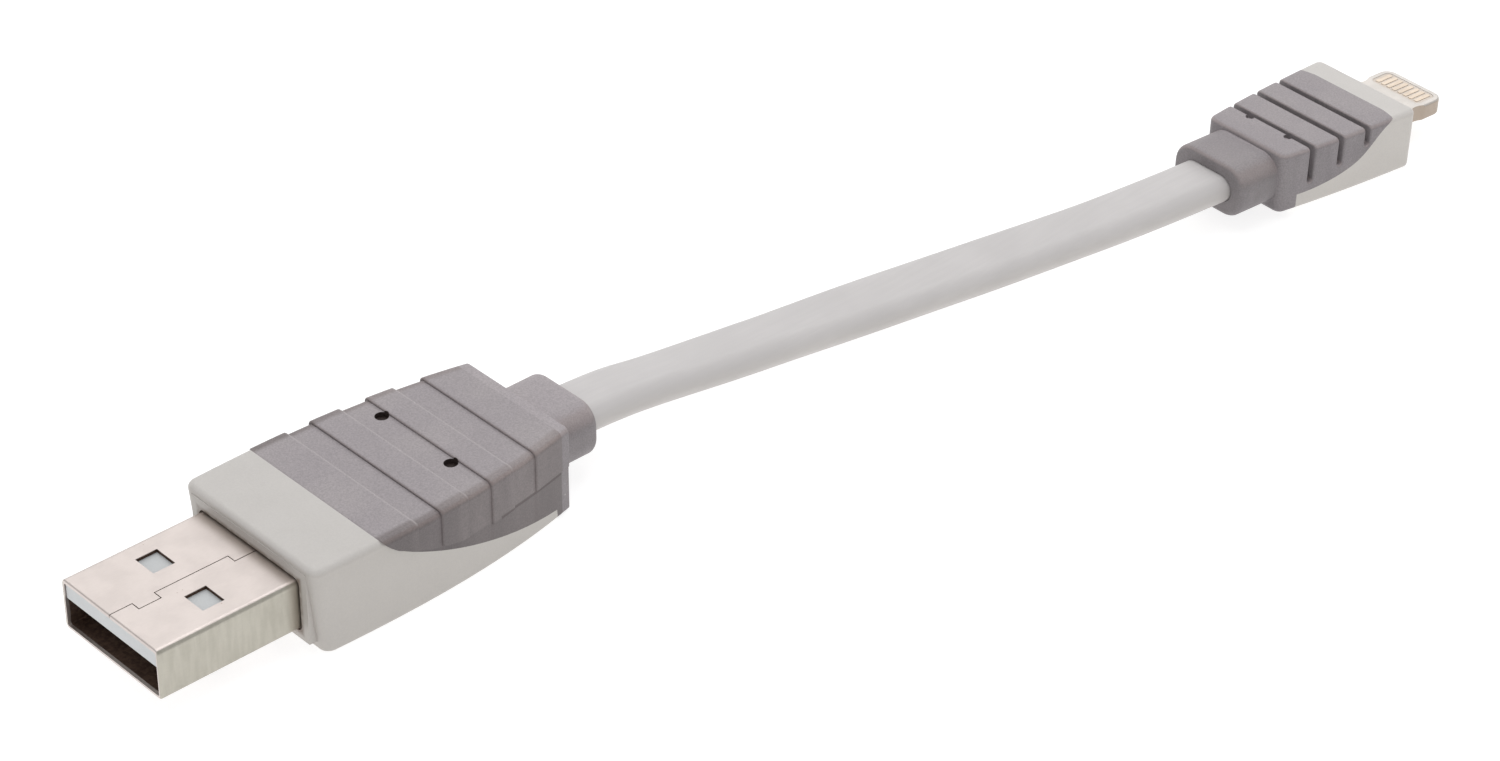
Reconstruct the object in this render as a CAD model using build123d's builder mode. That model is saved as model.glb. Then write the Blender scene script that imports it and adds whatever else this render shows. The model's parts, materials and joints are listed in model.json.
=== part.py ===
from build123d import *
import os
from math import cos, radians, sin, tan

# Short flat charging cable: a USB type A plug at one end, a reversible 8-pin tab plug at the
# other, and a flat cord between them.
# Frame: millimetres, +Z up, the table is z = 0. The origin is on the underside of the USB plug's
# housing, 12.9 mm behind its front face, and +X runs along the USB plug towards the cord.

os.makedirs("parts", exist_ok=True)

# ---------------------------------------------------------------- driving dimensions: USB plug
AXIS_Z = 3.87             # height of the USB shell, its collar and the cord's start
USB_LENGTH = 26.05        # housing, front face to rear face
USB_FRONT = -12.9
USB_REAR = USB_FRONT + USB_LENGTH
USB_HEIGHT = 7.75
USB_HALF_WIDTHS = ((0.0, 8.0), (7.0, 8.15), (17.4, 7.6), (26.05, 6.05))  # along from the front
FRONT_LEAN = 0.75         # the foot of the front face is set back by this
GROOVE_DEPTH = 0.2        # the grooves between the ribs, on top
RIB_PROUD = 0.15          # how far the ribs stand out at the sides
RIB_ROUND = 0.14          # rounding of the ribs' edges
RIBS = ((6.15, 9.7), (11.95, 14.7), (17.1, 19.55), (22.0, 26.05))        # start, end from front
GRIP_FRONT = USB_FRONT + RIBS[0][0]
GRIP_TOP = 0.6            # thickness of the soft grip over the top
GRIP_SIDE = 1.0           # and at the sides and the rear
VENTS = ((16.6, 4.9), (16.6, -3.5))       # two small holes in the grip
VENT_R = 0.55

SHELL_WIDTH = 12.0        # standard USB type A plug
SHELL_HEIGHT = 4.5
SHELL_WALL = 0.3
SHELL_ROUND = 0.45        # outer radius of the shell's long edges
SEAT_GAP = 0.06           # room round the shell in the housing
MOUTH_GAP = 0.15          # and in the first half millimetre
SHELL_OUT = 12.6          # how far the shell stands out of the housing
SHELL_IN = 6.0            # how far it goes into the housing
SHELL_TIP = USB_FRONT - SHELL_OUT
WINDOW_X = 6.34           # windows, behind the shell's mouth
WINDOW_Y = 3.04
WINDOW_LENGTH = 1.98
WINDOW_WIDTH = 2.32
SEAM = ((0, -0.05), (2.05, -0.05), (2.05, -0.9), (4.03, -0.9), (4.03, -0.05), (10.7, -0.05),
        (10.7, -0.9), (18.6, -0.9))       # along from the mouth, and sideways
SEAM_GAP = 0.08
TONGUE_THICK = 1.35
TONGUE_TOP = AXIS_Z + SHELL_HEIGHT / 2 - SHELL_WALL - 0.02
TONGUE_BLOCK = 12.2       # where the tongue's thick rear block starts, behind the mouth
PIN_NAMES = ("power", "data_minus", "data_plus", "ground")
PIN_Y = (-3.5, -1.0, 1.0, 3.5)
PIN_START = (1.9, 2.9, 2.9, 1.9)          # power and ground meet first
PIN_THICK = 0.25
PIN_WIDTH = 1.0
PIN_END = -3.0
PIN_TOP = TONGUE_TOP - TONGUE_THICK + PIN_THICK - 0.06
PIN_BOTTOM = PIN_TOP - PIN_THICK
MOULD_HEIGHT = 4.6

# ---------------------------------------------------------------- driving dimensions: cord
CORD_WIDTH = 5.5
CORD_THICK = 2.5
WIRE_COLOURS = ("red", "white", "green", "black")
WIRE_PITCH = 1.15
WIRE_R = 0.45
CORE_R = 0.24
WIRE_PLAY = 0.05          # room round a wire in the jacket
CORE_PLAY = 0.02          # room round a core in its insulation
COLLAR_WIDTH = 8.1        # strain relief, both ends
USB_COLLAR = (4.95, 5.0)  # length and height
TIP_COLLAR = (4.45, 4.8)
CLAMP_WIDTH = 6.1         # metal clamp on each end of the jacket
CLAMP_HEIGHT = 3.1
FIT = 0.02                # room left between pieces that are moulded onto each other

# ---------------------------------------------------------------- driving dimensions: 8-pin plug
TIP_LENGTH = 15.6         # housing, front face to rear face
TIP_HEIGHT = 5.7
TIP_HALF_WIDTHS = ((0.0, 5.8), (5.5, 5.5), (11.5, 5.0), (15.6, 4.5))     # along from the front
TIP_PLACE = (101.55, -10.85)
TIP_YAW = -1.7            # the plug lies a little askew to the USB plug
TIP_PITCH = 2.3           # the stiff cord holds its rear end up
TIP_SKIN = 0.9            # thickness of the soft grip over the top
TIP_SIDE = 1.0            # and at the sides and the rear
TIP_SLOTS = ((-5.9, 1.35), (-9.0, 0.4), (-12.3, -0.3))    # place, and the height they end at
SLOT_WIDTH = 0.6
SLOT_DEPTH = 0.7
SLOT_ROUND = 0.2          # rounding of the slots' upper rims
TIP_VENT = (-12.75, 2.24, 0.4)            # along, sideways, radius
TAB_OUT = 6.7             # standard 8-pin tab
TAB_WIDTH = 6.7
TAB_THICK = 1.5
FRAME_REAR = -3.2
NOTCH_X = 3.2             # latch notch in each side of the tab
NOTCH_R = 1.6
NOTCH_DEEP = 0.35
CARRIER = (3.75, 6.15, 5.6)               # rear, front and width of the contact window
PAD_COUNT = 8
PAD_PITCH = 0.64
PAD_WIDTH = 0.42
PAD_LENGTH = 1.85
BOARD_THICK = 0.5
BOARD_REAR = -9.8
BOARD_WIDTH = 6.2
BOARD_NECK = 5.0          # the board's width where it runs into the tab
CAN = (-8.4, -3.4, 6.9, 2.9, 0.15)        # rear, front, width, height and wall of the shield can
BOARD_PADS = (-2.1, -0.7, 0.7, 2.1)

# The 8-pin plug has a plane of its own: origin at the middle of its front face, local x towards
# the tip of the tab, local z up through the housing.
yaw = radians(TIP_YAW)
pitch = radians(TIP_PITCH)
tip_forward = Vector(cos(yaw) * cos(pitch), sin(yaw) * cos(pitch), -sin(pitch))
tip_up = Vector(cos(yaw) * sin(pitch), sin(yaw) * sin(pitch), cos(pitch))
tip = Plane(origin=(*TIP_PLACE, TIP_HEIGHT / 2 + 0.02), x_dir=tip_forward, z_dir=tip_up)
tip_axis = Axis(tip.origin, tip_forward)
tip_side = Plane(origin=tip.origin, x_dir=tip_forward, z_dir=-tip.y_dir)    # local y is up


def tip_cross(along):
    """A plane across the 8-pin plug: its local x is the plug's left, its local y is up."""
    return Plane(origin=tip.from_local_coords((along, 0, 0)), x_dir=tip.y_dir, z_dir=tip_forward)


def tip_point(along, left, up):
    return tip.from_local_coords(Vector(along, left, up))


# ---------------------------------------------------------------- the cord's route
# It leaves the USB collar level, sags a little between the two plugs, and comes up into the
# collar of the 8-pin plug along that plug's own axis.
JACKET_START = USB_REAR - 4.45
JACKET_END = -12.8        # along the 8-pin plug
route_points = [
    Vector(JACKET_START, 0.0, AXIS_Z),
    Vector(20.3, 0.0, AXIS_Z),
    Vector(28.0, -0.7, 3.12),
    Vector(36.2, -2.0, 2.9),
    Vector(48.4, -3.4, 2.35),
    Vector(60.6, -6.2, 2.75),
    tip_point(-27.0, 0.0, 0.0),
    tip_point(JACKET_END, 0.0, 0.0),
]


def corner_radii(points):
    """The arc that each corner's two runs allow, at 0.45 of the shorter run."""
    radii = []
    for before, corner, after in zip(points, points[1:], points[2:]):
        arriving = corner - before
        leaving = after - corner
        half_turn = radians(arriving.get_angle(leaving)) / 2
        radii.append(0.45 * min(arriving.length, leaving.length) / tan(half_turn))
    return radii


route_radii = corner_radii(route_points)
with BuildLine() as cord_route:
    FilletPolyline(*route_points, radius=route_radii)
cord_path = cord_route.wire()
cord_start = Plane(origin=route_points[0], x_dir=(0, 1, 0), z_dir=(1, 0, 0))


# ---------------------------------------------------------------- shapes that pieces share
def outline(half_widths, front, rear, grow, direction):
    """A housing seen from above, drawn as its left half and mirrored.

    half_widths are (distance behind the front face, half width); direction is +1 where the
    rear lies towards +x, and -1 where it lies towards -x.
    """
    knots = [(front + direction * back, half + grow) for back, half in half_widths]
    knots[-1] = (rear, knots[-1][1])
    with BuildSketch() as plan:
        with BuildLine():
            side = Spline(*knots)
            Polyline(side @ 0, (front, 0), (rear, 0), side @ 1)
        make_face()
        mirror(about=Plane.XZ)
    return plan.sketch


def wire_offset(index):
    return (index - 1.5) * WIRE_PITCH


def cord_section(play=0.0):
    """The flat cord's cross-section: flat top and bottom, round edges."""
    SlotOverall(CORD_WIDTH + 2 * play, CORD_THICK + 2 * play)


def ring(outer, inner):
    """A wire's cross-section; inner is 0 for a solid one."""
    Circle(outer)
    if inner:
        Circle(inner, mode=Mode.SUBTRACT)


def lay_wire(index, outer, inner, usb_end, tip_end):
    """One wire from its USB contact, through the cord, to its pad on the circuit board."""
    offset_y = wire_offset(index)
    usb_height = PIN_BOTTOM - CORE_R - 0.01
    pad_height = BOARD_THICK / 2 + CORE_R + 0.01
    with BuildLine() as usb_run:
        FilletPolyline(
            (JACKET_START + 0.2, offset_y, AXIS_Z),
            (JACKET_START - 1.2, offset_y, AXIS_Z),
            (1.0, PIN_Y[index], usb_height),
            (usb_end, PIN_Y[index], usb_height),
            radius=1.0,
        )
    with BuildLine() as tip_run:
        FilletPolyline(
            tip_point(JACKET_END - 0.2, offset_y, 0),
            tip_point(JACKET_END + 0.7, offset_y, 0),
            tip_point(JACKET_END + 2.1, BOARD_PADS[index], pad_height),
            tip_point(tip_end, BOARD_PADS[index], pad_height),
            radius=0.6,
        )
    with BuildPart() as wire:
        with BuildSketch(cord_start):
            with Locations((offset_y, 0)):
                ring(outer, inner)
        sweep(path=cord_path)
        for run in (usb_run.line, tip_run.line):
            with BuildSketch(Plane(origin=run @ 0, z_dir=run % 0)):
                ring(outer, inner)
            sweep(path=run)
    return wire


def finish(piece, label):
    piece.part.label = label
    export_step(piece.part, "parts/" + label + ".step")


# ---------------------------------------------------------------- USB plug: steel shell
with BuildPart() as usb_shell:
    with BuildSketch(Plane.YZ.offset(SHELL_TIP)):
        with Locations((0, AXIS_Z)):
            RectangleRounded(SHELL_WIDTH, SHELL_HEIGHT, SHELL_ROUND)
    extrude(amount=SHELL_OUT + SHELL_IN)
    fillet(usb_shell.faces().sort_by(Axis.X)[0].edges(), 0.15)
    with BuildSketch(Plane.YZ.offset(SHELL_TIP)):
        with Locations((0, AXIS_Z)):
            RectangleRounded(
                SHELL_WIDTH - 2 * SHELL_WALL,
                SHELL_HEIGHT - 2 * SHELL_WALL,
                SHELL_ROUND - SHELL_WALL,
            )
    extrude(amount=SHELL_OUT + SHELL_IN, mode=Mode.SUBTRACT)
    # two square windows in the top wall and two in the bottom wall
    with BuildSketch(Plane.XY):
        with Locations((SHELL_TIP + WINDOW_X, WINDOW_Y), (SHELL_TIP + WINDOW_X, -WINDOW_Y)):
            Rectangle(WINDOW_LENGTH, WINDOW_WIDTH)
    extrude(amount=2 * AXIS_Z, mode=Mode.SUBTRACT)
    # the folded sheet meets along the top, in a seam with interlocking tabs
    with BuildSketch(Plane.XY.offset(AXIS_Z)):
        with BuildLine():
            Polyline(*[(SHELL_TIP + along, sideways) for along, sideways in SEAM])
        trace(line_width=SEAM_GAP)
    extrude(amount=SHELL_HEIGHT, mode=Mode.SUBTRACT)
finish(usb_shell, "usb_shell")

# ---------------------------------------------------------------- USB plug: plastic tongue
TONGUE_WIDTH = SHELL_WIDTH - 2 * SHELL_WALL - 2 * FIT
with BuildPart() as usb_insulator:
    with BuildSketch(Plane.YZ.offset(SHELL_TIP + 0.12)):
        with Locations((0, TONGUE_TOP)):
            Rectangle(TONGUE_WIDTH - 0.12, TONGUE_THICK, align=(Align.CENTER, Align.MAX))
    extrude(amount=TONGUE_BLOCK + 0.5)
    with BuildSketch(Plane.YZ.offset(SHELL_TIP + TONGUE_BLOCK)):
        with Locations((0, AXIS_Z)):
            RectangleRounded(TONGUE_WIDTH, SHELL_HEIGHT - 2 * SHELL_WALL - 2 * FIT, 0.2)
    extrude(amount=4.7)
    # a channel for each contact
    for pin_y, pin_start in zip(PIN_Y, PIN_START):
        with BuildSketch(Plane.YZ.offset(SHELL_TIP + pin_start - FIT)):
            with Locations((pin_y, PIN_BOTTOM - FIT)):
                Rectangle(PIN_WIDTH + 2 * FIT, PIN_THICK + 2 * FIT, align=(Align.CENTER, Align.MIN))
        extrude(amount=SHELL_OUT + SHELL_IN, mode=Mode.SUBTRACT)
finish(usb_insulator, "usb_insulator")

# ---------------------------------------------------------------- USB plug: four contacts
for pin_name, pin_y, pin_start in zip(PIN_NAMES, PIN_Y, PIN_START):
    pin_x = SHELL_TIP + pin_start
    with BuildPart() as usb_contact:
        with BuildSketch(Plane.YZ.offset(pin_x)):
            with Locations((pin_y, PIN_BOTTOM)):
                Rectangle(PIN_WIDTH, PIN_THICK, align=(Align.CENTER, Align.MIN))
        extrude(amount=PIN_END - pin_x)
        # the front end is bevelled so that it rides up the socket's spring
        nose = usb_contact.faces().sort_by(Axis.X)[0].edges().sort_by(Axis.Z)[0]
        chamfer(nose, 0.12)
    finish(usb_contact, "usb_contact_" + pin_name)

# ---------------------------------------------------------------- USB plug: solder and mould
BEAD_R = 0.5
BEAD_X = -4.3
with BuildPart() as usb_solder_beads:
    for pin_y in PIN_Y:
        with Locations((BEAD_X, pin_y, PIN_BOTTOM - CORE_R)):
            Sphere(BEAD_R)
        with BuildSketch(Plane.YZ.offset(BEAD_X - 1)):
            with Locations((pin_y, PIN_BOTTOM - CORE_R - 0.01)):
                Circle(CORE_R + 0.01)
        extrude(amount=2, mode=Mode.SUBTRACT)
    with BuildSketch(Plane.XY.offset(PIN_BOTTOM - 0.01)):
        with Locations((BEAD_X, 0)):
            Rectangle(3, 10)
    extrude(amount=2, mode=Mode.SUBTRACT)
finish(usb_solder_beads, "usb_solder_beads")

MOULD_PLAN = ((-6.7, 5.4), (2.5, 5.4), (8.6, 3.8))        # along, half width
MOULD_BORE = ((-6.9, 5.4), (2.5, 5.4), (8.8, 3.8))


def mould_prism(plan, inset, height):
    """A block with straight sides in plan, centred on the plug's axis."""
    left = [(along, half - inset) for along, half in plan]
    right = [(along, inset - half) for along, half in reversed(plan)]
    with BuildPart() as block:
        with BuildSketch(Plane.XY.offset(AXIS_Z - height / 2)):
            with BuildLine():
                Polyline(*left, *right, close=True)
            make_face()
        extrude(amount=height)
    return block.part


with BuildPart() as usb_inner_mould:
    add(mould_prism(MOULD_PLAN, 0.03, MOULD_HEIGHT - 0.06))
    add(mould_prism(MOULD_BORE, 0.9, 2.6), mode=Mode.SUBTRACT)
finish(usb_inner_mould, "usb_inner_mould")

CLAMP_X = JACKET_START + 0.3
CLAMP_LENGTH = 2.4
with BuildPart() as usb_cable_clamp:
    with BuildSketch(Plane.YZ.offset(CLAMP_X)):
        with Locations((0, AXIS_Z)):
            SlotOverall(CLAMP_WIDTH, CLAMP_HEIGHT)
            SlotOverall(CORD_WIDTH + 2 * FIT, CORD_THICK + 2 * FIT, mode=Mode.SUBTRACT)
    extrude(amount=CLAMP_LENGTH)
finish(usb_cable_clamp, "usb_cable_clamp")

# ---------------------------------------------------------------- USB plug: housing and grip
def usb_block(height, grow=0.0):
    """The plug's outer shape up to this height, with its long edges rounded."""
    with BuildPart() as block:
        with BuildSketch(Plane.XY):
            add(outline(USB_HALF_WIDTHS, USB_FRONT, USB_REAR, grow, 1))
        extrude(amount=height)
        with BuildSketch(Plane.XZ):
            with BuildLine():
                foot = (USB_FRONT + FRONT_LEAN, 0)
                head = (USB_FRONT, USB_HEIGHT)
                Polyline(foot, (USB_REAR + 1, 0), (USB_REAR + 1, USB_HEIGHT), head, close=True)
            make_face()
        extrude(amount=10, both=True, mode=Mode.INTERSECT)
        corners = block.faces().sort_by(Axis.X)[0].edges().sort_by(Axis.Y)
        fillet([corners[0], corners[-1]], 0.9)
        fillet(block.faces().sort_by(Axis.Z)[-1].edges().sort_by(Axis.X)[:-1], 0.5)
        fillet(block.faces().sort_by(Axis.Z)[0].edges().sort_by(Axis.X)[:-1], 0.3)
    return block.part


with BuildPart() as usb_core:
    with BuildSketch(Plane.XY.offset(0.8)):
        add(outline(USB_HALF_WIDTHS, USB_FRONT, USB_REAR - GRIP_SIDE, -GRIP_SIDE, 1))
    extrude(amount=USB_HEIGHT - GRIP_TOP - 0.8)

# Seen from the side, the grip covers everything above this line, and the whole rear end.
with BuildPart() as usb_grip_region:
    with BuildSketch(Plane.XZ):
        with BuildLine():
            edge = Spline(
                (GRIP_FRONT, USB_HEIGHT + 0.1),
                (GRIP_FRONT + 0.8, 6.95),
                (-3.1, 5.1),
                (3.6, 2.5),
                (7.4, 1.55),
                (11.6, 0.9),
            )
            Polyline(edge @ 1, (11.75, -1), (14, -1), (14, 9), (GRIP_FRONT, 9), edge @ 0)
        make_face()
    extrude(amount=10, both=True)

# The ribs are as high as the front of the housing, and the grooves between them are lower. The
# ribs reach down the sides to the line here, and all their edges are rounded.
with BuildPart() as usb_rib_region:
    with BuildSketch(Plane.XZ):
        with BuildLine():
            low_edge = Spline((GRIP_FRONT, 7.2), (-2.5, 5.1), (2.7, 3.85), (7.5, 4.05), (USB_REAR, 4.2))
            Polyline(low_edge @ 1, (USB_REAR, 9), (GRIP_FRONT, 9), low_edge @ 0)
        make_face()
    extrude(amount=10, both=True)

usb_rib_envelope = usb_block(USB_HEIGHT, RIB_PROUD)


def usb_rib(start, end):
    """One rib from start to end behind the front face, with both its ends rounded all round."""
    with BuildPart() as block:
        with BuildSketch(Plane.YZ.offset(USB_FRONT + start)):
            Rectangle(40, 40)
        extrude(amount=end - start)
        add(usb_rib_envelope, mode=Mode.INTERSECT)
        ends = block.faces().sort_by(Axis.X)
        fillet(ends[0].edges() + ends[-1].edges(), RIB_ROUND)
        add(usb_rib_region.part, mode=Mode.INTERSECT)
        add(usb_grip_region.part, mode=Mode.INTERSECT)
    return block.part


with BuildPart() as usb_housing:
    add(usb_block(USB_HEIGHT))
    add(usb_grip_region.part, mode=Mode.SUBTRACT)
    add(usb_core.part)
    # the shell's seat
    with BuildSketch(Plane.YZ.offset(USB_FRONT - 1)):
        with Locations((0, AXIS_Z)):
            RectangleRounded(SHELL_WIDTH + 2 * SEAT_GAP, SHELL_HEIGHT + 2 * SEAT_GAP, 0.5)
    extrude(amount=SHELL_IN + 1.1, mode=Mode.SUBTRACT)
    with BuildSketch(Plane.YZ.offset(USB_FRONT - 1)):
        with Locations((0, AXIS_Z)):
            RectangleRounded(SHELL_WIDTH + 2 * MOUTH_GAP, SHELL_HEIGHT + 2 * MOUTH_GAP, 0.6)
    extrude(amount=1.5, mode=Mode.SUBTRACT)
    # room for the inner mould, the clamp and the jacket
    add(mould_prism(MOULD_BORE, 0.0, MOULD_HEIGHT), mode=Mode.SUBTRACT)
    with BuildSketch(Plane.YZ.offset(8.6)):
        with Locations((0, AXIS_Z)):
            SlotOverall(CLAMP_WIDTH + 2 * FIT, CLAMP_HEIGHT + 2 * FIT)
    extrude(amount=CLAMP_X + CLAMP_LENGTH + FIT - 8.6, mode=Mode.SUBTRACT)
    with BuildSketch(Plane.YZ.offset(8.6)):
        with Locations((0, AXIS_Z)):
            cord_section(FIT)
    extrude(amount=6, mode=Mode.SUBTRACT)
finish(usb_housing, "usb_housing")

with BuildPart() as usb_grip:
    add(usb_block(USB_HEIGHT - GROOVE_DEPTH))
    add(usb_grip_region.part, mode=Mode.INTERSECT)
    for rib_start, rib_end in RIBS:
        add(usb_rib(rib_start, rib_end))
    # the strain relief is one piece with the grip
    with BuildSketch(Plane.YZ.offset(USB_REAR - 0.5)):
        with Locations((0, AXIS_Z)):
            RectangleRounded(COLLAR_WIDTH, USB_COLLAR[1], 2.0)
    extrude(amount=USB_COLLAR[0] + 0.5)
    fillet(usb_grip.faces().sort_by(Axis.X)[-1].edges(), 0.7)
    add(usb_core.part, mode=Mode.SUBTRACT)
    with BuildSketch(Plane.XY.offset(USB_HEIGHT - GRIP_TOP - 0.1)):
        with Locations(*[(USB_FRONT + along, sideways) for along, sideways in VENTS]):
            Circle(VENT_R)
    extrude(amount=2, mode=Mode.SUBTRACT)
    with BuildSketch(Plane.YZ.offset(USB_REAR - 3)):
        with Locations((0, AXIS_Z)):
            cord_section(FIT)
    extrude(amount=USB_COLLAR[0] + 4, mode=Mode.SUBTRACT)
finish(usb_grip, "usb_grip")

# ---------------------------------------------------------------- cord: jacket and wires
with BuildPart() as cable_jacket:
    with BuildSketch(cord_start) as jacket_section:
        cord_section()
        for index in range(4):
            with Locations((wire_offset(index), 0)):
                Circle(WIRE_R + WIRE_PLAY, mode=Mode.SUBTRACT)
    sweep(path=cord_path)
finish(cable_jacket, "cable_jacket")

for index, colour in enumerate(WIRE_COLOURS):
    finish(lay_wire(index, WIRE_R, CORE_R + CORE_PLAY, -2.4, -10.1), "cable_wire_" + colour)
    finish(lay_wire(index, CORE_R, 0.0, -5.2, -8.9), "cable_core_" + colour)

# ---------------------------------------------------------------- 8-pin plug: tab frame
with BuildPart() as tip_frame:
    with BuildSketch(tip.offset(-TAB_THICK / 2)) as tab_plan:
        with Locations(((TAB_OUT + FRAME_REAR) / 2, 0)):
            Rectangle(TAB_OUT - FRAME_REAR, TAB_WIDTH)
        fillet(tab_plan.vertices().sort_by(Axis.X)[-2:], 1.1)
    extrude(amount=TAB_THICK)
    fillet(tip_frame.faces().filter_by(Axis(tip.origin, tip_up)).edges(), 0.2)
    # a flange inside the housing holds the tab
    with BuildSketch(tip.offset(-0.95)):
        with Locations((FRAME_REAR / 2 - 0.5, 0)):
            Rectangle(-FRAME_REAR - 1.0, 7.5)
    extrude(amount=1.9)
    # latch notches
    with BuildSketch(tip.offset(-1)):
        with Locations(*[(NOTCH_X, s * (TAB_WIDTH / 2 + NOTCH_R - NOTCH_DEEP)) for s in (1, -1)]):
            Circle(NOTCH_R)
    extrude(amount=2, mode=Mode.SUBTRACT)
    # the contact window, and the slot that the board comes in by
    with BuildSketch(tip.offset(-1)):
        with Locations(((CARRIER[0] + CARRIER[1]) / 2, 0)):
            RectangleRounded(CARRIER[1] - CARRIER[0], CARRIER[2], 0.5)
    extrude(amount=2, mode=Mode.SUBTRACT)
    with BuildSketch(tip_cross(FRAME_REAR - 1)):
        Rectangle(BOARD_NECK + 2 * FIT, BOARD_THICK + 2 * FIT)
    extrude(amount=CARRIER[0] - FRAME_REAR + 1.5, mode=Mode.SUBTRACT)
finish(tip_frame, "tip_frame")

# ---------------------------------------------------------------- 8-pin plug: contacts
PAD_X = (CARRIER[0] + CARRIER[1]) / 2
PAD_FACE = TAB_THICK / 2 + 0.02
with BuildPart() as tip_contact_carrier:
    with BuildSketch(tip.offset(-TAB_THICK / 2 + 0.02)):
        with Locations((PAD_X, 0)):
            RectangleRounded(CARRIER[1] - CARRIER[0] - 2 * FIT, CARRIER[2] - 2 * FIT, 0.48)
    extrude(amount=TAB_THICK - 0.04)
    with BuildSketch(tip_cross(CARRIER[0] - 1)):
        Rectangle(BOARD_NECK + 2 * FIT, BOARD_THICK + 2 * FIT)
    extrude(amount=CARRIER[1] - CARRIER[0] + 0.6, mode=Mode.SUBTRACT)
    with BuildSketch(tip.offset(-1)):
        with Locations((PAD_X, 0)):
            with GridLocations(0, PAD_PITCH, 1, PAD_COUNT):
                RectangleRounded(PAD_LENGTH + 2 * FIT, PAD_WIDTH + 2 * FIT, 0.14)
    extrude(amount=2, mode=Mode.SUBTRACT)
finish(tip_contact_carrier, "tip_contact_carrier")

for side_name, up in (("top", 1), ("bottom", -1)):
    for number in range(1, PAD_COUNT + 1):
        pad_y = (number - (PAD_COUNT + 1) / 2) * PAD_PITCH * up
        with BuildPart() as tip_contact:
            with BuildSketch(tip.offset(up * (BOARD_THICK / 2 + 0.01))):
                with Locations((PAD_X, pad_y)):
                    RectangleRounded(PAD_LENGTH, PAD_WIDTH, 0.13)
            extrude(amount=up * (PAD_FACE - BOARD_THICK / 2 - 0.01))
        finish(tip_contact, f"tip_contact_{side_name}_{number}")

# ---------------------------------------------------------------- 8-pin plug: electronics
with BuildPart() as tip_circuit_board:
    with BuildSketch(tip.offset(-BOARD_THICK / 2)):
        with Locations(((BOARD_REAR + FRAME_REAR) / 2, 0)):
            Rectangle(FRAME_REAR - BOARD_REAR - 2 * FIT, BOARD_WIDTH)
        with Locations(((BOARD_REAR + CARRIER[1]) / 2 - 0.3, 0)):
            Rectangle(CARRIER[1] - BOARD_REAR - 0.6, BOARD_NECK)
    extrude(amount=BOARD_THICK)
finish(tip_circuit_board, "tip_circuit_board")


def board_part(label, along, left, up, size):
    """A small component that sits on the board, or under it where up is -1."""
    with BuildPart() as component:
        with BuildSketch(tip.offset(up * (BOARD_THICK / 2 + 0.01))):
            with Locations((along, left)):
                Rectangle(size[0], size[1])
        extrude(amount=up * size[2])
        chamfer(component.faces().sort_by(Axis(tip.origin, tip_up * up))[-1].edges(), 0.05)
    finish(component, label)


board_part("tip_control_chip", -5.9, 0.0, 1, (2.6, 2.6, 0.6))
board_part("tip_capacitor_input", -7.4, 2.2, 1, (1.0, 0.5, 0.5))
board_part("tip_capacitor_output", -5.0, -2.3, -1, (1.0, 0.5, 0.5))
board_part("tip_resistor", -6.8, 1.6, -1, (1.0, 0.5, 0.35))

with BuildPart() as tip_shield_can:
    with BuildSketch(tip_cross(CAN[0])):
        RectangleRounded(CAN[2], CAN[3], 0.5)
        RectangleRounded(CAN[2] - 2 * CAN[4], CAN[3] - 2 * CAN[4], 0.35, mode=Mode.SUBTRACT)
    extrude(amount=CAN[1] - CAN[0])
finish(tip_shield_can, "tip_shield_can")

TIP_BEAD_X = -9.4
with BuildPart() as tip_solder_beads:
    for pad_y in BOARD_PADS:
        with BuildSketch(tip.offset(BOARD_THICK / 2 + 0.01)):
            with Locations((TIP_BEAD_X, pad_y)):
                Rectangle(0.7, 0.9)
        extrude(amount=0.62, taper=14)
        with BuildSketch(tip_cross(TIP_BEAD_X - 1)):
            with Locations((pad_y, BOARD_THICK / 2 + CORE_R + 0.01)):
                Circle(CORE_R + 0.01)
        extrude(amount=2, mode=Mode.SUBTRACT)
finish(tip_solder_beads, "tip_solder_beads")

with BuildPart() as tip_inner_mould:
    with BuildSketch(tip_cross(-12.5)):
        RectangleRounded(6.4, 3.1, 0.5)
        Rectangle(5.4, 1.9, mode=Mode.SUBTRACT)
    extrude(amount=2.2)
finish(tip_inner_mould, "tip_inner_mould")

TIP_CLAMP_X = -14.3
with BuildPart() as tip_cable_clamp:
    with BuildSketch(tip_cross(TIP_CLAMP_X)):
        SlotOverall(CLAMP_WIDTH, CLAMP_HEIGHT)
        SlotOverall(CORD_WIDTH + 2 * FIT, CORD_THICK + 2 * FIT, mode=Mode.SUBTRACT)
    extrude(amount=1.4)
finish(tip_cable_clamp, "tip_cable_clamp")

# ---------------------------------------------------------------- 8-pin plug: housing and grip
tip_upward = Axis(tip.origin, tip_up)
with BuildPart() as tip_body:
    with BuildSketch(tip.offset(-TIP_HEIGHT / 2)):
        add(outline(TIP_HALF_WIDTHS, 0.0, -TIP_LENGTH, 0.0, -1))
    extrude(amount=TIP_HEIGHT)
    uprights = tip_body.edges().filter_by(tip_upward).sort_by(tip_axis)
    fillet(uprights[-2:], 0.7)
    fillet(uprights[:2], 0.8)
    fillet(tip_body.faces().sort_by(tip_upward)[-1].edges(), 0.45)
    fillet(tip_body.faces().sort_by(tip_upward)[0].edges(), 0.4)

with BuildPart() as tip_core:
    with BuildSketch(tip.offset(TIP_SKIN - TIP_HEIGHT / 2)):
        add(outline(TIP_HALF_WIDTHS, 0.0, TIP_SIDE - TIP_LENGTH, -TIP_SIDE, -1))
    extrude(amount=TIP_HEIGHT - 2 * TIP_SKIN)

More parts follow.
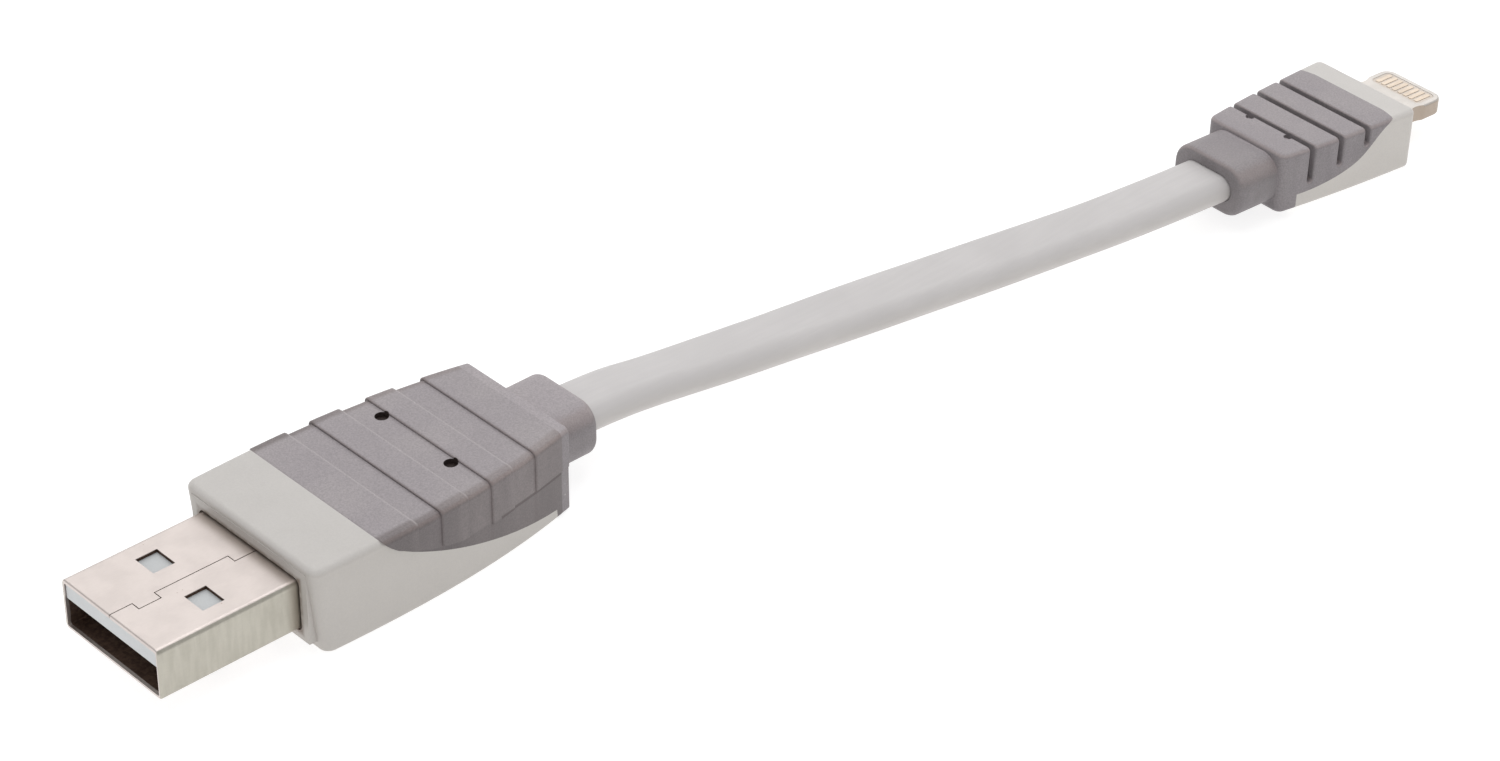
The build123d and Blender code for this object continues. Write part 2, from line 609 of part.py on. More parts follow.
# The slots stop at this skin, and so do the grip's two small holes.
with BuildPart() as tip_slot_floor:
    with BuildSketch(tip.offset(-TIP_HEIGHT / 2)):
        add(outline(TIP_HALF_WIDTHS, 0.0, -TIP_LENGTH, -SLOT_DEPTH, -1))
    extrude(amount=TIP_HEIGHT - SLOT_DEPTH)

with BuildPart() as tip_grip_region:
    # from the side: a line that falls away towards the rear, then straight down
    with BuildSketch(tip_side):
        with BuildLine():
            edge = Spline((-2.0, 2.95), (-4.0, 2.15), (-6.2, 0.25), (-9.3, -0.95), (-13.7, -1.4))
            Polyline(edge @ 1, (-13.7, -4), (-17, -4), (-17, 4), (-2.0, 4), edge @ 0)
        make_face()
    extrude(amount=8, both=True)
    # from above: an edge that bulges towards the tab in the middle
    with BuildSketch(tip.offset(-4)):
        with BuildLine():
            bulge = ThreePointArc((-3.4, -7), (-2.15, 0), (-3.4, 7))
            Polyline(bulge @ 1, (-17, 7), (-17, -7), bulge @ 0)
        make_face()
    extrude(amount=8, mode=Mode.INTERSECT)

with BuildPart() as tip_housing:
    add(tip_body.part)
    add(tip_grip_region.part, mode=Mode.SUBTRACT)
    add(tip_core.part)
    # the tab's way out, with the flange behind it
    with BuildSketch(tip_cross(-1.2)):
        RectangleRounded(TAB_WIDTH + 0.06, TAB_THICK + 0.06, 0.25)
    extrude(amount=3, mode=Mode.SUBTRACT)
    with BuildSketch(tip_cross(-8.45)):
        RectangleRounded(CAN[2] + 0.1, CAN[3] + 0.1, 0.5)
    extrude(amount=8.45 + FRAME_REAR - FIT, mode=Mode.SUBTRACT)
    with BuildSketch(tip_cross(FRAME_REAR - 0.1)):
        Rectangle(7.5 + 2 * FIT, 1.9 + 2 * FIT)
    extrude(amount=-FRAME_REAR - 0.9, mode=Mode.SUBTRACT)
    with BuildSketch(tip_cross(-12.55)):
        RectangleRounded(6.4 + 2 * FIT, 3.1 + 2 * FIT, 0.5)
    extrude(amount=4.2, mode=Mode.SUBTRACT)
    with BuildSketch(tip_cross(TIP_CLAMP_X - FIT)):
        SlotOverall(CLAMP_WIDTH + 2 * FIT, CLAMP_HEIGHT + 2 * FIT)
    extrude(amount=1.8, mode=Mode.SUBTRACT)
    with BuildSketch(tip_cross(-16)):
        cord_section(FIT)
    extrude(amount=3.5, mode=Mode.SUBTRACT)
finish(tip_housing, "tip_housing")

with BuildPart() as tip_slots:
    with BuildSketch(tip_side):
        for slot_x, slot_end in TIP_SLOTS:
            with Locations((slot_x, slot_end)):
                Rectangle(SLOT_WIDTH, 5, align=(Align.CENTER, Align.MIN))
                Circle(SLOT_WIDTH / 2)
    extrude(amount=8, both=True)
    with BuildSketch(tip.offset(0)):
        with Locations((TIP_VENT[0], TIP_VENT[1]), (TIP_VENT[0], -TIP_VENT[1])):
            Circle(TIP_VENT[2])
    extrude(amount=4)
    add(tip_slot_floor.part, mode=Mode.SUBTRACT)

with BuildPart() as tip_grip:
    add(tip_body.part)
    add(tip_grip_region.part, mode=Mode.INTERSECT)
    # the strain relief is one piece with the grip
    with BuildSketch(tip_cross(-TIP_LENGTH - TIP_COLLAR[0])):
        RectangleRounded(COLLAR_WIDTH, TIP_COLLAR[1], 2.0)
    extrude(amount=TIP_COLLAR[0] + 0.5)
    fillet(tip_grip.faces().sort_by(tip_axis)[0].edges(), 0.45)
    add(tip_core.part, mode=Mode.SUBTRACT)
    add(tip_slots.part, mode=Mode.SUBTRACT)
    rims = []
    for edge in tip_grip.edges():
        middle = tip.to_local_coords(edge.center())
        across_slot = min(abs(middle.X - slot_x) for slot_x, slot_end in TIP_SLOTS)
        if edge.length > 5 and abs(middle.Z - TIP_HEIGHT / 2) < 0.05 and across_slot < SLOT_WIDTH:
            rims.append(edge)
    fillet(rims, SLOT_ROUND)
    with BuildSketch(tip_cross(-TIP_LENGTH - TIP_COLLAR[0] - 1)):
        cord_section(FIT)
    extrude(amount=TIP_COLLAR[0] + 4, mode=Mode.SUBTRACT)
finish(tip_grip, "tip_grip")

# ---------------------------------------------------------------- the cord's figures
expected = jacket_section.sketch.area * cord_path.length
print("cord route length", round(cord_path.length, 2))
print("cord arc radii", [round(radius, 1) for radius in route_radii])
print("jacket volume", round(cable_jacket.part.volume, 2), "section x length", round(expected, 2))
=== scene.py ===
import json
import math

import bmesh
import bpy
from mathutils import Matrix, Vector


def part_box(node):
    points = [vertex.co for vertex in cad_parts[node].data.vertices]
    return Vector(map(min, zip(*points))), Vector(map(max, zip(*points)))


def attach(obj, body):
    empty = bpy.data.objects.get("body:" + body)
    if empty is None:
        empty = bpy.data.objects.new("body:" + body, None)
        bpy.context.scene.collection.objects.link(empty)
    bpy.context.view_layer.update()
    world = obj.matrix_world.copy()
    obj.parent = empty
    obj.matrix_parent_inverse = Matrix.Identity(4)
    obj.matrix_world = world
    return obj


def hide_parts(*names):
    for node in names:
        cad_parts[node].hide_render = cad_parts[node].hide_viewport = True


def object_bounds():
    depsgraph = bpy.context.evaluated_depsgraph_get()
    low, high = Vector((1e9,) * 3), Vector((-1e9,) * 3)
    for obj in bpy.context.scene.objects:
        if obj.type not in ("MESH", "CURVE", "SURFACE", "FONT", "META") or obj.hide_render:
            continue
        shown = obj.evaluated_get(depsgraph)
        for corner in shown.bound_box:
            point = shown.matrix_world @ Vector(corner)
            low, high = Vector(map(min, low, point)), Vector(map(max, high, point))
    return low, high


# A short flat charging cable on a white table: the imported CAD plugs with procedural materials,
# and the free flat cord between them as a smooth tube. Lengths are in metres.
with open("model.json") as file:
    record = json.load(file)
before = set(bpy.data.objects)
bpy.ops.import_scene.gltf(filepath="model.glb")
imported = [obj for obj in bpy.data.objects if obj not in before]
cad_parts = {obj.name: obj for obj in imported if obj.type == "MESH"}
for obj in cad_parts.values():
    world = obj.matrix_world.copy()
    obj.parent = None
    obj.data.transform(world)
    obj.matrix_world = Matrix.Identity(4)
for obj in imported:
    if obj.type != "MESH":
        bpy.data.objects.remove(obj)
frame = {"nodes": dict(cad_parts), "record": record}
cad_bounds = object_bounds()
MM = 0.001

# ---------------------------------------------------------------- camera
# The photograph's own camera, fitted to the corners and windows of the USB plug's shell.
CAMERA_AT = Vector((-0.15575, -0.20906, 0.19177))
CAMERA_RIGHT = Vector((0.73635, -0.67658, 0.0054))
CAMERA_UP = Vector((0.37754, 0.41747, 0.82655))
CAMERA_LENS = 100.7


def make_camera():
    data = bpy.data.cameras.new("camera")
    data.sensor_width = 36.0
    data.lens = CAMERA_LENS
    data.clip_start = 0.01
    camera = bpy.data.objects.new("camera", data)
    bpy.context.scene.collection.objects.link(camera)
    backward = CAMERA_RIGHT.cross(CAMERA_UP)
    turn = Matrix((CAMERA_RIGHT, CAMERA_UP, backward)).transposed()
    camera.matrix_world = Matrix.Translation(CAMERA_AT) @ turn.to_4x4()
    bpy.context.scene.camera = camera


make_camera()

# ---------------------------------------------------------------- the flat cord
CORD_WIDTH = 5.5 * MM
CORD_THICK = 2.5 * MM
WIRE_PITCH = 1.15 * MM
WIRE_CHANNEL = 0.5 * MM                      # radius of the jacket's four channels
ROUTE = (                                    # the CAD cord's route points, in millimetres
    (8.7, 0.0, 3.87),
    (20.3, 0.0, 3.87),
    (28.0, -0.7, 3.12),
    (36.2, -2.0, 2.9),
    (48.4, -3.4, 2.35),
    (60.6, -6.2, 2.75),
    (74.584, -10.05, 3.954),
    (88.766, -10.471, 3.384),
)
ROLL = (                                     # share of the way, and the cord's turn in degrees
    (0.0, 0.0),
    (0.12, 0.0),
    (0.22, -3.5),
    (0.42, 0.0),
    (0.58, 6.0),
    (0.7, 5.0),
    (0.86, 0.0),
    (1.0, 0.0),
)


def route_curve(name, points):
    """A smooth NURBS curve with these control points, given in millimetres."""
    data = bpy.data.curves.new(name, "CURVE")
    data.dimensions = "3D"
    data.resolution_u = 24
    spline = data.splines.new("NURBS")
    spline.points.add(len(points) - 1)
    for point, place in zip(spline.points, points):
        point.co = (*(MM * value for value in place), 1.0)
    spline.order_u = 3
    spline.use_endpoint_u = True
    curve = bpy.data.objects.new(name, data)
    bpy.context.scene.collection.objects.link(curve)
    return curve


def read_path(curve):
    """The points of the curve's own line."""
    line = bpy.data.meshes.new_from_object(curve)
    points = [vertex.co.copy() for vertex in line.vertices]
    bpy.data.meshes.remove(line)
    bpy.data.objects.remove(curve)
    return points


def between(stops, at):
    """A value that eases from one (place, value) stop to the next."""
    for (start, low), (end, high) in zip(stops, stops[1:]):
        if at <= end:
            share = (at - start) / (end - start)
            return low + (high - low) * share * share * (3 - 2 * share)
    return stops[-1][1]


def stadium(width, height, steps):
    """The flat cord's section as (sideways, up) points, anticlockwise."""
    radius = height / 2
    straight = width / 2 - radius
    ring = []
    for side, start in ((1, -math.pi / 2), (-1, math.pi / 2)):
        for step in range(steps + 1):
            angle = start + math.pi * step / steps
            ring.append((side * straight + radius * math.cos(angle), radius * math.sin(angle)))
    return ring


def circle(middle, radius, steps):
    turns = [2 * math.pi * step / steps for step in range(steps)]
    return [(middle + radius * math.cos(turn), radius * math.sin(turn)) for turn in turns]


def sweep(name, path, sections, roll):
    """A tube along the path. The first section is its outside, and the others are channels."""
    mesh = bmesh.new()
    loops = []
    for index, point in enumerate(path):
        before = path[max(index - 1, 0)]
        after = path[min(index + 1, len(path) - 1)]
        ahead = (after - before).normalized()
        left = Vector((0, 0, 1)).cross(ahead).normalized()
        up = ahead.cross(left)
        angle = math.radians(between(roll, index / (len(path) - 1)))
        side = left * math.cos(angle) + up * math.sin(angle)
        rise = up * math.cos(angle) - left * math.sin(angle)
        loops.append([[mesh.verts.new(point + side * a + rise * b) for a, b in section]
                      for section in sections])
    for near, far in zip(loops, loops[1:]):
        for near_ring, far_ring in zip(near, far):
            count = len(near_ring)
            for this in range(count):
                other = (this + 1) % count
                corners = (near_ring[this], near_ring[other], far_ring[other], far_ring[this])
                mesh.faces.new(corners).smooth = True
    for end in (loops[0], loops[-1]):
        edges = []
        for ring in end:
            edges += [mesh.edges.get((a, b)) for a, b in zip(ring, ring[1:] + ring[:1])]
        bmesh.ops.triangle_fill(mesh, edges=edges, use_beauty=True)
    bmesh.ops.recalc_face_normals(mesh, faces=mesh.faces)
    data = bpy.data.meshes.new(name)
    mesh.to_mesh(data)
    mesh.free()
    tube = bpy.data.objects.new(name, data)
    bpy.context.scene.collection.objects.link(tube)
    return tube


cord_path = read_path(route_curve("cord_route", ROUTE))
channels = [circle((index - 1.5) * WIRE_PITCH, WIRE_CHANNEL, 16) for index in range(4)]
flat_cord = sweep("flat_cord", cord_path, [stadium(CORD_WIDTH, CORD_THICK, 14), *channels], ROLL)
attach(flat_cord, "root")
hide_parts("cable_jacket")


# ---------------------------------------------------------------- material helpers
class Look:
    """A procedural material: a Principled shader, and short calls for the nodes that feed it."""

    def __init__(self, name, roughness=0.5, metallic=0.0):
        self.material = bpy.data.materials.new(name)
        self.material.use_nodes = True
        self.tree = self.material.node_tree
        self.shader = self.tree.nodes["Principled BSDF"]
        self.shader.inputs["Roughness"].default_value = roughness
        self.shader.inputs["Metallic"].default_value = metallic
        coordinates = self.tree.nodes.new("ShaderNodeTexCoord").outputs
        self.place = coordinates["Object"]
        self.facing = coordinates["Normal"]

    def add(self, kind, settings, links):
        node = self.tree.nodes.new(kind)
        for key, value in settings.items():
            setattr(node, key, value)
        for socket, value in links.items():
            self.feed(node.inputs[socket], value)
        return node

    def feed(self, socket, value):
        if isinstance(value, bpy.types.NodeSocket):
            self.tree.links.new(value, socket)
        else:
            socket.default_value = value

    def noise(self, size, detail=3.0, stretch=(1, 1, 1), rough=0.5):
        """Noise with lumps of about this size, longer along an axis where stretch is above 1."""
        scale = tuple(1 / (size * factor) for factor in stretch)
        mapping = self.add("ShaderNodeMapping", {}, {"Vector": self.place, "Scale": scale})
        links = {"Vector": mapping.outputs[0], "Scale": 1.0, "Detail": detail, "Roughness": rough}
        return self.add("ShaderNodeTexNoise", {}, links).outputs["Fac"]

    def cells(self, size):
        links = {"Vector": self.place, "Scale": 1 / size}
        return self.add("ShaderNodeTexVoronoi", {}, links).outputs["Distance"]

    def steps(self, factor, low, high, start=0.0, end=1.0):
        """A number that goes from start to end as the factor goes from low to high."""
        links = {
            "Value": factor,
            "From Min": low,
            "From Max": high,
            "To Min": start,
            "To Max": end,
        }
        smooth = {"interpolation_type": "SMOOTHSTEP"}
        return self.add("ShaderNodeMapRange", smooth, links).outputs[0]

    def math(self, operation, first, second):
        node = self.add("ShaderNodeMath", {"operation": operation}, {0: first, 1: second})
        return node.outputs[0]

    def plus(self, first, second):
        return self.math("ADD", first, second)

    def minus(self, first, second):
        return self.math("SUBTRACT", first, second)

    def times(self, first, *others):
        for other in others:
            first = self.math("MULTIPLY", first, other)
        return first

    def power(self, base, exponent):
        return self.math("POWER", base, exponent)

    def larger(self, first, second):
        return self.math("MAXIMUM", first, second)

    def size(self, value):
        """The number without its sign."""
        return self.math("ABSOLUTE", value, 0.0)

    def is_under(self, value, limit):
        return self.math("LESS_THAN", value, limit)

    def is_over(self, value, limit):
        return self.math("GREATER_THAN", value, limit)

    def mix(self, factor, first, second):
        node = self.add("ShaderNodeMix", {"data_type": "RGBA"}, {})
        self.feed(node.inputs["Factor"], factor)
        self.feed(node.inputs[6], rgba(first))
        self.feed(node.inputs[7], rgba(second))
        return node.outputs[2]

    def dim(self, colour, factor):
        """The colour times a number."""
        links = {0: colour, "Scale": factor}
        return self.add("ShaderNodeVectorMath", {"operation": "SCALE"}, links).outputs[0]

    def tinted(self, colour, tint):
        """The colour times another colour."""
        links = {0: colour, 1: tint}
        return self.add("ShaderNodeVectorMath", {"operation": "MULTIPLY"}, links).outputs[0]

    def axis(self, name, vector=None):
        """One coordinate of the place on the piece, or of another vector."""
        links = {"Vector": vector or self.place}
        return self.add("ShaderNodeSeparateXYZ", {}, links).outputs[name]

    def line(self, along, places, width):
        """1 on thin bands across an axis at these places, and 0 elsewhere."""
        total = 0.0
        for place in places:
            off = self.size(self.minus(along, place))
            total = self.plus(self.steps(off, 0.3 * width, width, 1.0, 0.0), total)
        return total

    def colour(self, value):
        self.feed(self.shader.inputs["Base Color"], rgba(value))

    def roughness(self, value):
        self.feed(self.shader.inputs["Roughness"], value)

    def bump(self, height, depth, after=None):
        """Surface relief of this depth; after chains it onto another one."""
        links = {"Height": height, "Strength": 1.0, "Distance": depth}
        if after is not None:
            links["Normal"] = after
        normal = self.add("ShaderNodeBump", {}, links).outputs[0]
        self.feed(self.shader.inputs["Normal"], normal)
        return normal


def rgba(value):
    """A colour as a node socket takes it; a socket is passed through."""
    if isinstance(value, (tuple, list)) and len(value) == 3:
        return (*value, 1.0)
    return value


def paint(colour):
    """A linear colour from sRGB numbers of 0 to 255."""
    return tuple((value / 255) ** 2.2 for value in colour)


def shade(colour, factor):
    return tuple(min(1.0, value * factor) for value in colour)


WARM = (1.0, 0.98, 0.96)


def grained(look, fine, colour, warm):
    """A colour that drifts slowly towards a second one, with fine specks."""
    broad = look.noise(3.5 * MM, 3.0)
    slow = look.mix(look.steps(broad, 0.35, 0.65), shade(warm, 0.975), shade(colour, 1.02))
    speck = look.mix(look.steps(fine, 0.3, 0.7), shade(colour, 0.95), shade(colour, 1.04))
    return look.mix(0.5, slow, speck)


def moulded_plastic(name, colour, grain, depth, roughness=0.5, tint=WARM):
    """Moulded plastic: a fine grain, and slow changes of colour and gloss over the surface."""
    look = Look(name)
    fine = look.noise(grain, 4.0, rough=0.6)
    warm = tuple(value * part for value, part in zip(colour, tint))
    look.colour(grained(look, fine, colour, warm))
    look.roughness(look.steps(look.noise(0.9 * MM), 0.3, 0.7, roughness - 0.06, roughness + 0.06))
    look.bump(fine, depth)
    return look.material


# ---------------------------------------------------------------- the materials
SHELL_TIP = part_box("usb_shell")[0].x
SHELL_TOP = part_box("usb_shell")[1].z
SHELL_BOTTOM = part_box("usb_shell")[0].z
SHELL_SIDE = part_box("usb_shell")[1].y
SHELL_AXIS = (SHELL_TOP + SHELL_BOTTOM) / 2
SHELL_HALF = (SHELL_TOP - SHELL_BOTTOM) / 2
SHELL_WALL = 0.3 * MM
CUT_SIDE = 4.6 * MM           # the windows and the seam lie within this of the middle
SEAM_SIDE = 1.2 * MM          # and the seam within this
HOUSING_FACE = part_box("usb_housing")[0].x
USB_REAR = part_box("usb_housing")[1].x
USB_HALF = 8.1 * MM           # the USB plug's half width at its widest
USB_TAPER = 2.05 * MM         # how much narrower it is at its rear end
USB_TAPER_START = HOUSING_FACE + 5 * MM
USB_TAPER_LENGTH = 21 * MM
GRIP_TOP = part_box("usb_grip")[1].z
TIP_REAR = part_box("tip_housing")[0].x - 1 * MM
USB_COLLAR_LIMIT = 30 * MM    # the USB plug's strain relief ends before this
TIP_COLLAR_LIMIT = 70 * MM    # and the far plug's begins behind this
VENTS = tuple((HOUSING_FACE + 16.6 * MM, sideways * MM) for sideways in (4.9, -3.5))
VENT_R = 0.58 * MM
VENT_DEPTH = 1.5 * MM
RIB_STARTS = tuple(HOUSING_FACE + part * MM for part in (6.15, 11.95, 17.1, 22.0))
RIB_ENDS = tuple(HOUSING_FACE + part * MM for part in (9.7, 14.7, 19.55))
RIB_FOOT = 4.0 * MM           # height of the ribs' lower ends along the USB plug's sides
RIB_FOOT_FRONT = 3.2 * MM     # how much higher they end at the front
RIB_BEND = HOUSING_FACE + 15.6 * MM
LIGHTER_FROM = 60 * MM        # the far housing's lighter tone grows from here
LIGHTER_TO = 98 * MM
STAIN_AND_SHADE_REACH = 3 * MM          # the stain and painted shade lie on the housing's front only
# brown for the stain and painted shade round the shell
STAIN_AND_SHADE_BROWN = paint((112, 92, 76))
# painted shade inside the grip's two small holes
VENT_SHADE_BROWN = paint((58, 48, 46))


def vent_shade_mask(look):
    """1 inside the two small holes in the top of the USB grip, down to their floor, where their
    painted shade goes.
    """
    along, across, up = (look.axis(name) for name in "XYZ")
    total = 0.0
    for vent_along, vent_across in VENTS:
        off_along = look.power(look.minus(along, vent_along), 2.0)
        off_across = look.power(look.minus(across, vent_across), 2.0)
        inside = look.is_under(look.plus(off_along, off_across), VENT_R ** 2)
        total = look.plus(inside, total)
    return look.times(total, look.is_over(up, GRIP_TOP - VENT_DEPTH))


def housing_white():
    """Satin white plastic, with a brown mark round the shell where it enters the housing, partly
    stain and partly painted shade, and painted shade on sideways faces.
    """
    colour = paint((206, 202, 198))
    look = Look("housing_white")
    fine = look.noise(0.16 * MM, 4.0, rough=0.6)
    tone = grained(look, fine, colour, colour)
    # the brown round the shell is partly stain and partly painted shade in the joint
    along, across, up = (look.axis(name) for name in "XYZ")
    off_side = look.minus(look.size(across), SHELL_SIDE)
    height = look.size(look.minus(up, SHELL_AXIS))
    off_top = look.minus(height, SHELL_HALF)
    near = look.steps(look.larger(off_side, off_top), 0.1 * MM, 0.6 * MM, 1.0, 0.0)
    near = look.times(near, look.is_under(along, HOUSING_FACE + STAIN_AND_SHADE_REACH))
    near = look.times(near, look.steps(look.noise(0.7 * MM), 0.3, 0.6, 0.35, 1.0))
    tone = look.mix(look.times(near, 0.8), tone, STAIN_AND_SHADE_BROWN)
    # painted shade: faces that look sideways are darker and warmer; the far housing is a little
    # lighter
    upward = look.axis("Z", look.facing)
    warm = look.mix(look.steps(upward, 0.1, 0.8), (0.86, 0.85, 0.835), (1, 1, 1))
    tone = look.tinted(tone, warm)
    tone = look.dim(tone, look.steps(along, LIGHTER_FROM, LIGHTER_TO, 1.0, 1.1))
    # painted shade inside the two small holes
    look.colour(look.mix(vent_shade_mask(look), tone, VENT_SHADE_BROWN))
    look.roughness(look.steps(look.noise(0.9 * MM), 0.3, 0.7, 0.36, 0.48))
    look.bump(fine, 0.008 * MM)
    return look.material


def jacket_white():
    """The cord's smooth skin, with faint marks along it from the extruder."""
    colour = paint((207, 204, 203))
    look = Look("jacket_white")
    marks = look.noise(0.35 * MM, 3.0, (12, 1, 1))
    fine = look.noise(0.08 * MM, 3.0)
    broad = look.noise(6 * MM, 2.0)
    tone = look.mix(look.steps(broad, 0.35, 0.65), shade(colour, 0.97), shade(colour, 1.02))
    tone = look.mix(look.steps(marks, 0.3, 0.7, 0.0, 0.35), tone, shade(colour, 0.93))
    # painted light and shade: faces that look up are lighter, faces that look down darker and
    # warmer
    upward = look.steps(look.axis("Z", look.facing), -0.1, 0.85)
    look.colour(look.tinted(tone, look.mix(upward, (0.9, 0.885, 0.865), (1.06, 1.055, 1.06))))
    look.roughness(look.steps(marks, 0.3, 0.7, 0.42, 0.54))
    normal = look.bump(fine, 0.003 * MM)
    look.bump(marks, 0.006 * MM, normal)
    return look.material


def grip_grey():
    """Soft grey plastic with a moulded grain, painted darker at the sides as painted shade, and
    painted highlights along the ribs.
    """
    look = Look("grip_grey")
    pits = look.noise(0.15 * MM, 4.0, rough=0.7)
    lumps = look.noise(0.5 * MM, 3.0)
    broad = look.noise(6 * MM, 2.0)
    slow = look.steps(broad, 0.35, 0.65)
    slow = look.mix(slow, paint((163, 156, 159)), paint((168, 161, 163)))
    tone = look.dim(slow, look.steps(pits, 0.3, 0.7, 0.84, 1.16))
    # painted shade: sloping faces at the ribs' rounded edges are tinted brown, faces that look
    # sideways are darker, with soft vertical waves of painted light and shade on them
    upward = look.axis("Z", look.facing)
    tilted = look.steps(upward, 0.15, 0.5)
    edge = look.times(tilted, look.steps(upward, 0.75, 0.97, 1.0, 0.0))
    tone = look.mix(look.times(edge, 0.3), tone, paint((158, 140, 134)))
    sidelong = look.steps(upward, 0.1, 0.85, 1.0, 0.0)
    tone = look.dim(tone, look.steps(sidelong, 0.0, 1.0, 1.0, 0.66))
    along, across, up = (look.axis(name) for name in "XYZ")
    waves = look.steps(look.noise(1.5 * MM, 1.0, (1, 1, 4)), 0.3, 0.7, 0.93, 1.06)
    waves = look.plus(look.times(look.minus(waves, 1.0), sidelong), 1.0)
    tone = look.dim(tone, waves)
    # painted shade: the ribs' ends are browner near the plug's sides, and the sides and rims
    # darker towards the front
    usb_plug = look.is_under(along, USB_REAR + 0.1 * MM)
    back = look.math("DIVIDE", look.minus(along, USB_TAPER_START), USB_TAPER_LENGTH)
    back = look.larger(back, 0.0)
    half = look.minus(USB_HALF, look.times(look.power(back, 2.5), USB_TAPER))
    rim = look.minus(look.size(across), half)
    rim = look.times(look.steps(rim, -0.95 * MM, -0.45 * MM), usb_plug)
    tone = look.tinted(tone, look.mix(look.times(rim, 0.8), (1, 1, 1), (0.82, 0.78, 0.75)))
    shaded = look.times(look.larger(rim, sidelong), usb_plug)
    fade = look.steps(along, HOUSING_FACE + 6 * MM, HOUSING_FACE + 22 * MM, 0.3, 0.0)
    tone = look.dim(tone, look.minus(1.0, look.times(shaded, fade)))
    # the smooth band below the ribs is darker, with a thin painted shadow line along the ribs'
    # lower edge
    ahead = look.larger(look.minus(RIB_BEND, along), 0.0)
    rise = look.power(look.math("DIVIDE", ahead, RIB_BEND - RIB_STARTS[0]), 2.0)
    foot = look.plus(look.times(rise, RIB_FOOT_FRONT), RIB_FOOT)
    under = look.minus(foot, up)
    below = look.times(look.steps(under, -0.1 * MM, 0.15 * MM), usb_plug)
    tone = look.dim(tone, look.steps(below, 0.0, 1.0, 1.0, 0.82))
    rib_foot_shadow = look.times(look.line(under, (0.0,), 0.2 * MM), sidelong)
    rib_foot_shadow = look.times(rib_foot_shadow, look.is_over(along, HOUSING_FACE + 18 * MM))
    rib_foot_shadow = look.times(rib_foot_shadow, usb_plug, 0.6)
    tone = look.mix(rib_foot_shadow, tone, paint((74, 64, 62)))
    # the strain relief: painted lighter on faces that look up, the far plug's strain relief darker
    # as painted shade, and a few pale flecks of flash low on its side
    off_plug = look.minus(1.0, usb_plug)
    collar = look.times(off_plug, look.is_under(along, USB_COLLAR_LIMIT))
    tone = look.dim(tone, look.steps(look.times(collar, upward), 0.5, 1.0, 1.0, 1.12))
    far_collar = look.is_over(along, TIP_COLLAR_LIMIT)
    far_collar = look.times(far_collar, look.is_under(along, TIP_REAR))
    tone = look.dim(tone, look.steps(far_collar, 0.0, 1.0, 1.0, 0.86))
    low = look.times(collar, look.steps(up, 2.2 * MM, 3.2 * MM, 1.0, 0.0))
    flecks = look.times(look.is_under(look.cells(0.5 * MM), 0.16), low)
    tone = look.mix(look.times(flecks, 0.6), tone, paint((205, 198, 196)))
    # painted highlights along the ribs' rear edges, and painted shade along their fronts
    on_top = look.steps(upward, 0.5, 0.9)
    light = look.times(look.line(along, RIB_ENDS, 0.22 * MM), on_top)
    tone = look.mix(look.times(light, 0.4), tone, paint((204, 198, 198)))
    dark = look.times(look.line(along, RIB_STARTS, 0.3 * MM), 0.16)
    tone = look.mix(dark, tone, paint((96, 84, 84)))
    # painted shade inside the two small holes
    look.colour(look.mix(vent_shade_mask(look), tone, VENT_SHADE_BROWN))
    look.roughness(look.steps(pits, 0.3, 0.7, 0.52, 0.7))
    normal = look.bump(pits, 0.03 * MM)
    look.bump(lumps, 0.012 * MM, normal)
    return look.material


